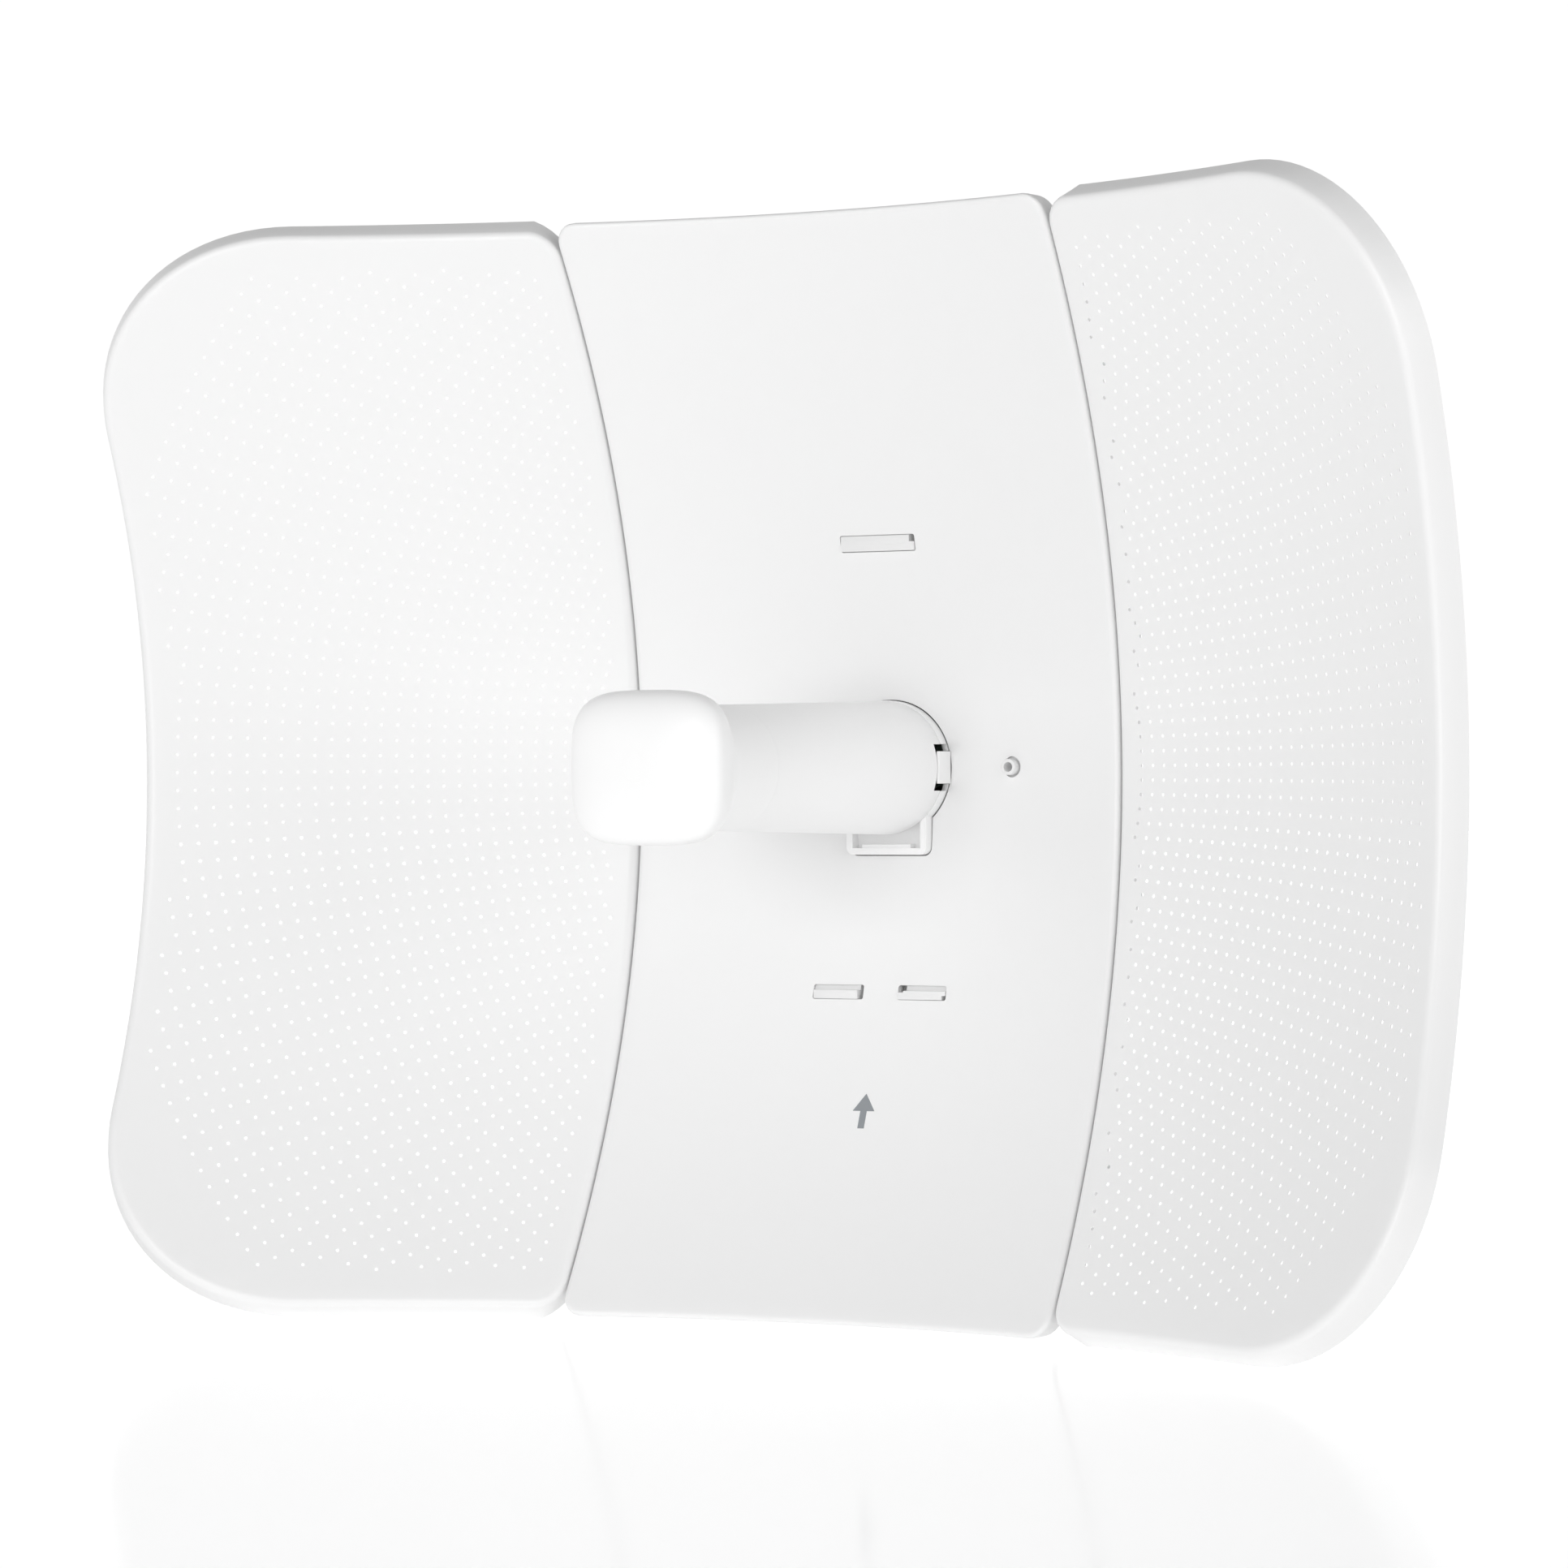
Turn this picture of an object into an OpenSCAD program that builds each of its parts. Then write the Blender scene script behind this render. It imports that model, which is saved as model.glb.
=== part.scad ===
// Outdoor wireless bridge: a three-panel dish with a plug-in radio feed and a tilting pole clamp.
// Frame: millimetres, +Z up, the dish looks along -Y, the origin is the pole axis at mid height.

/* [Reflector] */
// Focal length of the dish surface
focal = 161.2; // [150:0.1:170]
// Distance from the pole axis forward to the vertex of the dish
vertex_y = -81; // [-85:0.5:-81]
// Half width of the dish face at its outer edges
wing_x = 254.3; // [240:0.1:260]
// Half height of the wing faces
wing_z = 190; // [180:0.1:195]
// Corner radius of the wing faces
wing_corner = 70; // [40:1:90]
// Half width of the plain middle panel
center_x = 97.25; // [90:0.05:100]
// Half height of the middle panel
center_z = 193.3; // [185:0.1:195]
// Corner radius of every panel beside a seam
seam_corner = 8; // [4:1:12]
// Gap between two panels at a seam
seam_gap = 0.7; // [0.5:0.1:1.5]
// Sheet thickness
sheet_t = 0.8; // [0.8:0.1:1.4]
// Depth of the turned-back edges
flange_d = 11; // [8:0.5:13]
// Radius of the bend at the panel edges
bend_r = 2.5; // [2:0.1:4]

/* [Feed] */
// Radius of the feed opening in the middle panel
opening_r = 24.3; // [24.3:0.1:25]
// Outer radius of the feed tube at the dish
tube_r0 = 23.7; // [23:0.1:23.7]
// Outer radius of the feed tube at the head
tube_r1 = 21.4; // [21:0.1:22]
// Length from the vertex to the seam of the head
tube_len = 117; // [110:1:120]
// Length from the vertex to the front of the head
feed_len = 174.5; // [172:0.5:176]
// Half width of the head
head_x = 29.2; // [27:0.1:30]
// Half height of the head
head_z = 25.7; // [24:0.1:27]
// Distance from the vertex to the rim of the head, behind its crowned front
rim_len = 165; // [163:0.5:166]
// Wall of the plastic shells
wall = 2; // [1.8:0.1:2.2]
// Half width of the cable duct under the tube
duct_x = 16.2; // [15:0.1:16.2]
// Lowest point of the cable duct below the feed axis
duct_z = 30.9; // [30:0.1:30.9]

/* [Bracket] */
// Half width of the moulded bracket behind the middle panel
bracket_x = 34; // [32:1:38]
// Half height of the moulded bracket
bracket_z = 90; // [88:1:100]
// Depth of the moulded bracket behind the vertex
bracket_d = 20; // [19:0.5:20]
// Half width of the slot above the feed
slot_x = 15.1; // [12:0.1:18]
// Height of the hook slots above and below the feed axis
slot_z = 79.6; // [76:0.1:82]
// Sideways place of the locating boss
boss_x = 50; // [48:0.5:54]

/* [Mount] */
// Radius of the pole
pole_r = 19.05; // [19.05:0.05:19.2]
// Height of the pole clamp
clamp_h = 50; // [40:1:50]
// Distance from the pole axis forward to the tilt axis
pivot_y = 34; // [34:0.5:35]
// Radius of the tilt bolt (M8)
pivot_r = 4; // [4:0.5:4]
// Distance between the tilt bolt and the lock bolt
lock_arm = 22; // [21:0.5:22]
// Largest tilt, each way
tilt_max = 20; // [10:1:20]
// Sideways place of the clamp bolts
clamp_x = 34; // [34:0.5:36]
// End of the clamp bolts behind the pole axis
bolt_end = 40.8; // [38:0.1:42]

/* [Hidden] */

// Metal around the path of the lock bolt
ear_rim = 6.7;
$fn = 64;
tiny = 0.01;
// Clearance round a turning or sliding pin
fit = 0.05;
wing_x0 = center_x + seam_gap;
// Depth of the cable channel behind the vertex
channel_d = 18.3;
clevis_t = 3;
clevis_x = 18.4;
ear_x = 21.9;
ear_t = 4;
grip_t = 4;
flange_y = 5;
m8_head = 6.5;
washer_t = 1.6;
screw_z = [-135, -45, 45, 135];

// ---- helpers ----
// Depth of the dish surface at a place on its face; forward is negative
function dish(x, z) = -(x * x + z * z) / (4 * focal);
// Unit normal of the dish surface, pointing back
function back_normal(x, z) = let (n = [x / (2 * focal), 1, z / (2 * focal)]) n / norm(n);
// Straight stretch from a to b in n steps, without its end
function run(a, b, n) = [for (i = [0:n - 1]) a + (b - a) * i / n];
// Quarter arc in n steps, without its end, running anticlockwise from angle a
function corner(cx, cz, r, a, n) =
    [for (i = [0:n - 1]) [cx + r * cos(a + 90 * i / n), cz + r * sin(a + 90 * i / n)]];

// Everything that belongs to the dish is drawn with the vertex at its own origin
module at_vertex() {
    translate([0, vertex_y, 0]) children();
}

// Cylinder along Y from a to b
module rod_y(r, a, b) {
    translate([0, a, 0]) rotate([-90, 0, 0]) cylinder(r = r, h = b - a);
}

// Cylinder along X from a to b
module rod_x(r, a, b) {
    translate([a, 0, 0]) rotate([0, 90, 0]) cylinder(r = r, h = b - a);
}

// Box from its lowest corner to its highest
module box(a, b) {
    translate(a) cube(b - a);
}

// Hexagon bar along X from a to b, s across its flats
module hex_x(s, a, b) {
    translate([a, 0, 0]) rotate([0, 90, 0]) cylinder(d = s / cos(30), h = b - a, $fn = 6);
}

// Hexagon bar along Y from a to b, s across its flats
module hex_y(s, a, b) {
    translate([0, a, 0]) rotate([-90, 0, 0]) cylinder(d = s / cos(30), h = b - a, $fn = 6);
}

// Ring round the dish axis: the band between two depths behind the dish surface
module dish_band(r_max, front, back) {
    steps = 18;
    r = [for (i = [0:steps]) r_max * i / steps];
    rotate([-90, 0, 0]) rotate_extrude($fn = 96)
        polygon(concat(
            [for (i = [0:steps]) [r[i], dish(r[i], 0) + front]],
            [for (i = [steps:-1:0]) [r[i], dish(r[i], 0) + back]]));
}

// Rectangle with round corners, centred, drawn through the whole depth
module face_prism(x, z, r, near, far) {
    translate([0, far, 0]) rotate([90, 0, 0]) linear_extrude(far - near) {
        square([2 * x, 2 * (z - r)], center = true);
        square([2 * (x - r), 2 * z], center = true);
        for (sx = [-1, 1], sz = [-1, 1]) translate([sx * (x - r), sz * (z - r)]) circle(r);
    }
}

// Strip of the dish surface beside a seam, between two depths, as wide as width along X
module seam_band(width, front, back, z_end) {
    steps = 20;
    z = [for (i = [0:steps]) z_end * (2 * i / steps - 1)];
    rotate([90, 0, 90]) linear_extrude(width) polygon(concat(
        [for (i = [0:steps]) [dish(wing_x0, z[i]) + front, z[i]]],
        [for (i = [steps:-1:0]) [dish(wing_x0, z[i]) + back, z[i]]]));
}

// ---- panels ----
module center_panel() {
    color("#eceef0") at_vertex() difference() {
        union() {
            intersection() {
                dish_band(220, 0, sheet_t);
                face_prism(center_x, center_z, seam_corner, -90, 20);
            }
            intersection() {
                dish_band(220, 0.2, flange_d);
                difference() {
                    face_prism(center_x, center_z, seam_corner, -90, 20);
                    face_prism(center_x - sheet_t, center_z - sheet_t, seam_corner - sheet_t, -91, 21);
                }
            }
        }
        rod_y(opening_r, -20, 20);
        box([-duct_x - 0.4, -20, -duct_z - 0.4], [duct_x + 0.4, 20, 0]);
        box([-slot_x, -30, slot_z - 3], [slot_x, 20, slot_z + 3]);
        for (s = [-1, 1]) translate([s * 17, 0, -slot_z]) box([-10, -30, -2.6], [10, 20, 2.6]);
        translate([boss_x, 0, 0]) rod_y(3.7, -20, 20);
        for (s = [-1, 1]) seam_holes(s);
    }
}

// Screw holes through both turned edges at one seam
module seam_holes(s) {
    for (z = screw_z) translate([s * wing_x0, dish(wing_x0, z) + 7.2, z]) rod_x(2.2, -4, 4);
}

// Outline of the right wing, anticlockwise from the lower end of its outer side
function wing_outline() = concat(
    run([wing_x, wing_corner - wing_z], [wing_x, wing_z - wing_corner], 10),
    corner(wing_x - wing_corner, wing_z - wing_corner, wing_corner, 0, 9),
    run([wing_x - wing_corner, wing_z], [wing_x0 + seam_corner, wing_z], 5),
    corner(wing_x0 + seam_corner, wing_z - seam_corner, seam_corner, 90, 3),
    run([wing_x0, wing_z - seam_corner], [wing_x0, seam_corner - wing_z], 16),
    corner(wing_x0 + seam_corner, seam_corner - wing_z, seam_corner, 180, 3),
    run([wing_x0 + seam_corner, -wing_z], [wing_x - wing_corner, -wing_z], 5),
    corner(wing_x - wing_corner, wing_corner - wing_z, wing_corner, 270, 9));

// Outward direction of the outline at point i, in the plane of the face
function outward(p, i) =
    let (n = len(p), t = p[(i + 1) % n] - p[(i + n - 1) % n]) [t[1], -t[0]] / norm(t);

// Direction in which the edge turns back: square to the sheet, or straight back beside the seam
function flange_dir(x, z) = x < wing_x0 + 1 ? [0, 1, 0] : back_normal(x, z);

// Point of the edge profile: a along the face, out over the outline, and b along the flange
function edge_point(p, i, a, b) =
    let (x = p[i][0], z = p[i][1], o = outward(p, i),
        s = [o[0], -(x * o[0] + z * o[1]) / (2 * focal), o[1]])
    [x, dish(x, z), z] + a * s / norm(s) + b * flange_dir(x, z);

// Ring of the face, scaled towards the middle of the wing and set back by t
function face_ring(p, c, s, t) = [for (q = p)
    let (x = c[0] + s * (q[0] - c[0]), z = c[1] + s * (q[1] - c[1]))
    [x, dish(x, z), z] + t * back_normal(x, z)];

function edge_ring(p, a, b) = [for (i = [0:len(p) - 1]) edge_point(p, i, a, b)];

module wing() {
    p = wing_outline();
    n = len(p);
    c = [(wing_x + wing_x0) / 2, 0];
    scales = [0.2, 0.4, 0.6, 0.8, 0.93];
    inner_r = bend_r - sheet_t;
    rings = concat(
        [for (s = scales) face_ring(p, c, s, 0)],
        [for (a = [0, 45, 90]) edge_ring(p, bend_r * (sin(a) - 1), bend_r * (1 - cos(a)))],
        [edge_ring(p, 0, flange_d), edge_ring(p, -sheet_t, flange_d)],
        [for (a = [90, 45, 0]) edge_ring(p, inner_r * sin(a) - bend_r, bend_r - inner_r * cos(a))],
        [for (i = [len(scales) - 1:-1:0]) face_ring(p, c, scales[i], sheet_t)]);
    m = len(rings);
    front = [c[0], dish(c[0], 0), 0];
    points = concat([for (r = rings, q = r) q], [front, front + sheet_t * back_normal(c[0], 0)]);
    faces = concat(
        [for (i = [0:n - 1]) [n * m, i, (i + 1) % n]],
        [for (k = [0:m - 2], i = [0:n - 1]) [k * n + i, (k + 1) * n + i, k * n + (i + 1) % n]],
        [for (k = [0:m - 2], i = [0:n - 1])
            [(k + 1) * n + i, (k + 1) * n + (i + 1) % n, k * n + (i + 1) % n]],
        [for (i = [0:n - 1]) [n * m + 1, (m - 1) * n + (i + 1) % n, (m - 1) * n + i]]);
    difference() {
        polyhedron(points, faces);
        seam_holes(1);
    }
}

module right_panel() {
    color("#eceef0") at_vertex() wing();
}

module left_panel() {
    color("#eceef0") at_vertex() mirror([1, 0, 0]) wing();
}

// Channel that grips the two turned edges at the right seam from behind
module seam_strip() {
    mid = center_x + seam_gap / 2;
    half = sheet_t + seam_gap / 2 + 0.1;
    difference() {
        translate([mid - half - 1.2, 0, 0]) seam_band(2 * half + 2.4, 3.6, flange_d + 1.8, 170);
        translate([mid - half, 0, 0]) seam_band(2 * half, 2, flange_d + 0.5, 171);
        for (z = screw_z) translate([mid, dish(wing_x0, z) + 7.2, z]) rod_x(2.2, -6, 6);
    }
}

module left_seam_strip() {
    color("#d9dcdf") at_vertex() mirror([1, 0, 0]) seam_strip();
}

module right_seam_strip() {
    color("#d9dcdf") at_vertex() seam_strip();
}

// Four screws and nuts through each seam
module seam_screws() {
    mid = center_x + seam_gap / 2;
    side = sheet_t + seam_gap / 2 + 1.3;
    color("#b9bdc2") at_vertex() for (s = [0, 1], z = screw_z) mirror([s, 0, 0])
        translate([mid, dish(wing_x0, z) + 7.2, z]) {
            rod_x(2, -side - 4.4, side);
            rod_x(3.8, side, side + 2.4);
            hex_x(7, -side - 3.2, -side);
        }
}

// ---- bracket behind the dish ----
// Everything behind the back of the middle panel, for the moulded bracket
module behind_panel(clear) {
    difference() {
        children();
        dish_band(130, -80, sheet_t + clear);
    }
}

module dish_bracket() {
    rib = 2.5;
    skin = 3;
    color("#e9ebed") at_vertex() difference() {
        union() {
            behind_panel(0.4) difference() {
                box([-bracket_x, -25, -bracket_z], [bracket_x, bracket_d, bracket_z]);
                behind_panel(0.4 + skin)
                    box([skin - bracket_x, -25, skin - bracket_z], [bracket_x - skin, 30, bracket_z - skin]);
            }
            behind_panel(1) {
                for (s = [-1, 1]) box([s * 19.5 - rib / 2, -25, -bracket_z], [s * 19.5 + rib / 2, bracket_d, 85]);
                for (z = [-68, 36, 56, 74]) box([-bracket_x, -25, z], [bracket_x, bracket_d, z + rib]);
                box([-19, -25, 58], [19, bracket_d, 74]);
                box([-18, channel_d, -bracket_z], [18, bracket_d, -26]);
                rod_y(27, -2, bracket_d);
                for (sx = [-1, 1], z = [-44, 46]) translate([sx * 27, 0, z]) rod_y(5, -8, bracket_d);
                box([bracket_x - 1, -5, -8], [boss_x + 7, 6, 8]);
            }
            box([-14.8, dish(0, slot_z) - 0.7, slot_z - 2.7], [14.8, 0, slot_z + 2.7]);
            for (s = [-1, 1]) translate([s * 17, 0, -slot_z])
                box([-9.7, dish(17, slot_z) - 1, -2.4], [9.7, 0, 0.7]);
            translate([boss_x, 0, 0]) rod_y(2.8, -7, 5);
        }
        rod_y(24, -10, 30);
        box([0, -10, -6], [27.1, 15, 6]);
        box([-17.5, -20, -66], [17.5, channel_d, 0]);
        box([-6.5, -20, -bracket_z - 1], [6.5, channel_d, -60]);
        translate([boss_x, 0, 0]) rod_y(1.7, -10, 3);
        hook_gaps();
        for (sx = [-1, 1], z = [-44, 46]) translate([sx * 27, 0, z]) rod_y(2.1, 4, 30);
    }
}

// Openings beside the hooks, through which the sliders of the moulding tool reached them
module hook_gaps() {
    for (gap = [[12.8, 15.1, slot_z + 0.4, slot_z + 3], [-8.9, -7, -slot_z - 2.6, -slot_z + 2.6],
            [7, 9.8, -slot_z + 0.1, -slot_z + 2.6], [25.3, 27, -slot_z - 2.6, -slot_z - 0.9]])
        box([gap[0], -25, gap[2]], [gap[1], 5, gap[3]]);
}

// Steel plate with two ears that turn on the tilt bolt
module tilt_clevis() {
    d = -vertex_y - pivot_y;
    ear_r = 9;
    color("#dfe1e3") at_vertex() difference() {
        union() {
            box([1 - bracket_x, bracket_d, -50], [bracket_x - 1, bracket_d + clevis_t, 52]);
            for (s = [0, 1]) mirror([s, 0, 0]) {
                box([clevis_x, bracket_d + 1, -ear_r], [clevis_x + 3, d, lock_arm + ear_r]);
                box([clevis_x, d - 1, 0], [clevis_x + 3, d + ear_r, lock_arm]);
                for (z = [0, lock_arm]) translate([0, d, z]) rod_x(ear_r, clevis_x, clevis_x + 3);
            }
        }
        rod_y(17.5, 10, 30);
        for (sx = [-1, 1], z = [-44, 46]) translate([sx * 27, 0, z]) rod_y(2.8, 10, 30);
        translate([0, d, 0]) rod_x(pivot_r + fit, -40, 40);
        translate([0, d, lock_arm]) rod_x(3 + fit, -40, 40);
    }
}

module clevis_screws() {
    color("#b9bdc2") at_vertex() for (sx = [-1, 1], z = [-44, 46]) translate([sx * 27, 0, z]) {
        rod_y(2, 6, bracket_d + clevis_t);
        difference() {
            rod_y(4.6, bracket_d + clevis_t, bracket_d + clevis_t + 3);
            hex_y(3, bracket_d + clevis_t + 1.4, bracket_d + clevis_t + 4);
        }
    }
}

module level_housing() {
    color("#e9ebed") at_vertex() difference() {
        box([-15, bracket_d, 60], [15, bracket_d + 9, 71]);
        translate([0, bracket_d + 4.5, 65.5]) rod_x(3.4, -13, 16);
        box([-9, bracket_d + 2.5, 65], [9, bracket_d + 10, 72]);
    }
}

module level_vial() {
    color("#c9e29a") at_vertex() translate([0, bracket_d + 4.5, 65.5]) rod_x(3.2, -12.6, 12.6);
}

// ---- radio feed ----
// Places of the three long screws that hold the base to the tube
function base_screw(i) = let (a = [45, 135, 200][i]) [17 * cos(a), 17 * sin(a)];

module feed_tube() {
    r = [tube_r0 - wall, tube_r1 - wall];
    color("#eceef0") at_vertex() {
        difference() {
            union() {
                rotate([-90, 0, 0]) rotate_extrude($fn = 96) polygon([
                    [r[0], -5.5], [tube_r0, -5.5], [tube_r1, -tube_len], [r[1] - 0.3, -tube_len],
                    [r[1] - 0.3, -tube_len - 4], [r[1] - 2, -tube_len - 4], [r[1] - 2, 5 - tube_len],
                    [r[1] + 0.1, 7 - tube_len]]);
                intersection() {
                    rod_y(tube_r0 - wall / 2 - 0.4, -23.6, -15.4);
                    for (i = [0:2]) let (p = base_screw(i)) union() {
                        translate([p[0], 0, p[1]]) rod_y(2.6, -23.6, -15.4);
                        rotate([0, -[45, 135, 200][i], 0]) box([17, -23.6, -1.5], [23, -15.4, 1.5]);
                    }
                }
            }
            for (i = [0:2]) translate([base_screw(i)[0], 0, base_screw(i)[1]]) rod_y(1.55, -22.5, 0);
            box([21, -10.2, -8.2], [26, -5, 8.2]);
        }
    }
}

// Smooth step from 0 at a to 1 at b
function ease(v, a, b) = let (s = min(1, max(0, (v - a) / (b - a)))) s * s * (3 - 2 * s);

// Half size of the head at a distance in front of the vertex, towards its half size w at the rim
function head_half(v, w) = let (e = max(0, (v - rim_len) / (feed_len - rim_len)))
    (tube_r1 + (w - tube_r1) * ease(v, rim_len - 23, rim_len - 1)) * pow(max(0, 1 - pow(e, 2.6)), 1 / 2.6);

// Roundness of the head: 2 is a circle, higher is squarer
function head_power(v) = 2 + 1.6 * ease(v, rim_len - 23, rim_len - 3);

// One ring of the head, shrunk by t, n points round
function head_ring(v, t, n) = let (e = 2 / head_power(v))
    [for (i = [0:n - 1]) let (c = cos(360 * i / n), s = sin(360 * i / n))
        [(head_half(v, head_x) - t) * sign(c) * pow(abs(c), e), -v,
            (head_half(v, head_z) - t) * sign(s) * pow(abs(s), e)]];

module head_cover() {
    n = 48;
    out = [for (v = [tube_len + 0.3, 130, 142, 147, 151, 155, 159, 162, 164]) v,
        for (e = [0, 0.3, 0.52, 0.7, 0.84, 0.94, 0.985]) rim_len + e * (feed_len - rim_len)];
    in = [for (e = [0.78, 0.7, 0.55, 0.35, 0.1]) rim_len + e * (feed_len - rim_len),
        for (v = [163, 159, 155, 150, 144, 132, tube_len + 0.3]) v];
    rings = concat(
        [for (v = out) head_ring(v, 0, n)],
        [for (v = in) head_ring(v, wall, n)]);
    m = len(rings);
    points = concat([for (r = rings, q = r) q], [[0, -feed_len, 0], [0, wall - feed_len, 0]]);
    k_tip = len(out) - 1;
    color("#eceef0") at_vertex() polyhedron(points, concat(
        [for (k = [0:m - 1], i = [0:n - 1]) if (k != k_tip)
            [k * n + i, ((k + 1) % m) * n + i, k * n + (i + 1) % n]],
        [for (k = [0:m - 1], i = [0:n - 1]) if (k != k_tip)
            [((k + 1) % m) * n + i, ((k + 1) % m) * n + (i + 1) % n, k * n + (i + 1) % n]],
        [for (i = [0:n - 1]) [k_tip * n + i, m * n, k_tip * n + (i + 1) % n]],
        [for (i = [0:n - 1]) [(k_tip + 1) * n + i, (k_tip + 1) * n + (i + 1) % n, m * n + 1]]));
}

module subreflector() {
    color("#c4c8cc") at_vertex() rod_y(19, -164, -163);
}

module driven_element() {
    color("#b08d4a") at_vertex() {
        rod_y(13, -146, -145.2);
        rod_y(1.3, -145.2, -109.5);
    }
}

module element_spacer() {
    color("#f2f2ee") at_vertex() {
        difference() {
            union() {
                rod_y(5, -145.1, -112.2);
                rod_y(17, -114.2, -112.2);
            }
            rod_y(1.5, -148, -110);
        }
        for (i = [0:2]) rotate([0, 120 * i, 0]) translate([9.5, 0, 0]) rod_y(2, -162.9, -146.1);
    }
}

module main_board() {
    color("#2f6b45") at_vertex() box([5.6, -109, -16], [7.2, 15, 16]);
}

module rf_shield() {
    color("#c4c8cc") at_vertex() difference() {
        box([-0.5, -105, -12], [5.5, -74, 12]);
        box([0.1, -104.4, -11.4], [6, -74.6, 11.4]);
    }
}

module heat_spreader() {
    color("#a9adb1") at_vertex() {
        box([7.3, -70, -11], [9.3, -24, 11]);
        for (i = [-3:3]) box([9.2, -70, i * 3.2 - 0.6], [14.5, -24, i * 3.2 + 0.6]);
    }
}

module ethernet_jack() {
    color("#b9bdc2") at_vertex() difference() {
        box([-8, -1, -19.6], [5.5, 15, 1.4]);
        box([-5.6, 1, -20], [3, 13, -5]);
        box([3, 4.5, -20], [4.4, 9.5, -5]);
    }
}

module light_pipes() {
    color("#f4f6f8") at_vertex() {
        box([2.5, 15.2, 2], [4.5, 16.1, 14.5]);
        for (z = [3.2, 6.6, 10, 13.4]) translate([3.5, 0, z]) rod_y(0.9, 16, 18.3);
    }
}

// Cup that closes the tube, with the cable duct under it
module feed_base() {
    cup = 21.6;
    color("#eceef0") at_vertex() difference() {
        union() {
            rod_y(23.6, -2, 18);
            rod_y(23.9, -5.3, -1);
            rod_y(21.3, -15, -5);
            box([-duct_x, -5.3, -duct_z], [duct_x, 18, -16]);
        }
        difference() {
            union() {
                rod_y(cup, -4, 16.2);
                rod_y(19.5, -16, 0);
                box([2.4 - duct_x, 0.4, 2.4 - duct_z], [duct_x - 2.4, 15.9, 0]);
            }
            for (i = [0:2]) translate([base_screw(i)[0], 0, base_screw(i)[1]]) rod_y(2.6, -15, 17);
        }
        difference() {
            rod_y(22, -13.4, -11.6);
            rod_y(20.3, -14, -11);
        }
        difference() {
            box([2.4 - duct_x, -6, 2.4 - duct_z], [duct_x - 2.4, -1, -17]);
            rod_y(22.2, -7, 0);
            box([-10, -4.8, 1.4 - duct_z], [9.6, 0, 3.7 - duct_z]);
        }
        box([-9, 1.4, -duct_z - 1], [9, 15.6, -26]);
        translate([0, 14.4, -29.8]) rod_x(0.6 + fit, -10.5, 10.5);
        box([16, -6, -8.3], [25, -0.6, 8.3]);
        box([17, -2, -5.8], [25, 12, 5.8]);
        for (i = [0:2]) translate([base_screw(i)[0], 0, base_screw(i)[1]]) {
            rod_y(1.6, -16, 20);
            rod_y(2.95, 16.6, 20);
        }
        for (z = [3.2, 6.6, 10, 13.4]) translate([3.5, 0, z]) rod_y(1, 10, 20);
        translate([11, 0, -9]) rod_y(1.5 + fit, 10, 20);
    }
}

module base_gasket() {
    color("#3b3d40") at_vertex() rotate([-90, 0, 0]) rotate_extrude($fn = 96)
        translate([20.9, -12.5]) circle(0.57, $fn = 24);
}

module base_screws() {
    color("#b9bdc2") at_vertex() for (i = [0:2]) translate([base_screw(i)[0], 0, base_screw(i)[1]]) {
        rod_y(1.5, -22, 17);
        difference() {
            rod_y(2.75, 16.6, 18);
            hex_y(2, 17.2, 19);
        }
    }
}

module feed_latch() {
    color("#f4f5f6") at_vertex() {
        box([19.2, -4.6, -5.3], [23.4, 11.5, 5.3]);
        box([23.2, -9.9, -5.7], [24.2, -1.4, 5.7]);
        box([23.3, 5.5, -4], [24.1, 9, 4]);
    }
}

// Flap that closes the cable duct, with its hinge pin along the rear edge
module port_cover() {
    color("#eceef0") at_vertex() {
        box([-8.6, 1.9, -duct_z + 0.3], [8.6, 14, -28.9]);
        box([-8.6, 2.1, -29.5], [8.6, 3.3, -27]);
        translate([0, 14.4, -29.8]) {
            rod_x(0.9, -8.6, 8.6);
            rod_x(0.6, -10.2, 10.2);
        }
    }
}

module reset_button() {
    color("#6f7478") at_vertex() translate([11, 0, -9]) {
        rod_y(1.5, 15, 18.6);
        rod_y(2.3, 14.4, 15.3);
    }
}

// ---- pole mount ----
// Half of the grip: a saddle for the pole and two flanges, on the front side
module pole_grip(half_h) {
    intersection() {
        difference() {
            translate([0, 0, -half_h]) cylinder(r = pole_r + grip_t, h = 2 * half_h, $fn = 96);
            translate([0, 0, -half_h - 1]) cylinder(r = pole_r, h = 2 * half_h + 2, $fn = 96);
        }
        box([-30, -30, -half_h], [30, -flange_y, half_h]);
    }
    difference() {
        for (s = [-1, 1]) translate([s * 32, 0, 0])
            box([-11.2, -flange_y - grip_t, -half_h], [11.2, -flange_y, half_h]);
        for (s = [-1, 1]) translate([s * clamp_x, 0, 0]) rod_y(pivot_r + 0.25, -20, 0);
    }
}

// Points of an arc in the ear's plane, angles from straight up toward the pole
function ear_arc(r, a, b, steps, mid = [0, 0]) =
    [for (i = [0:steps]) mid + r * [sin(a + (b - a) * i / steps), cos(a + (b - a) * i / steps)]];

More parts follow.
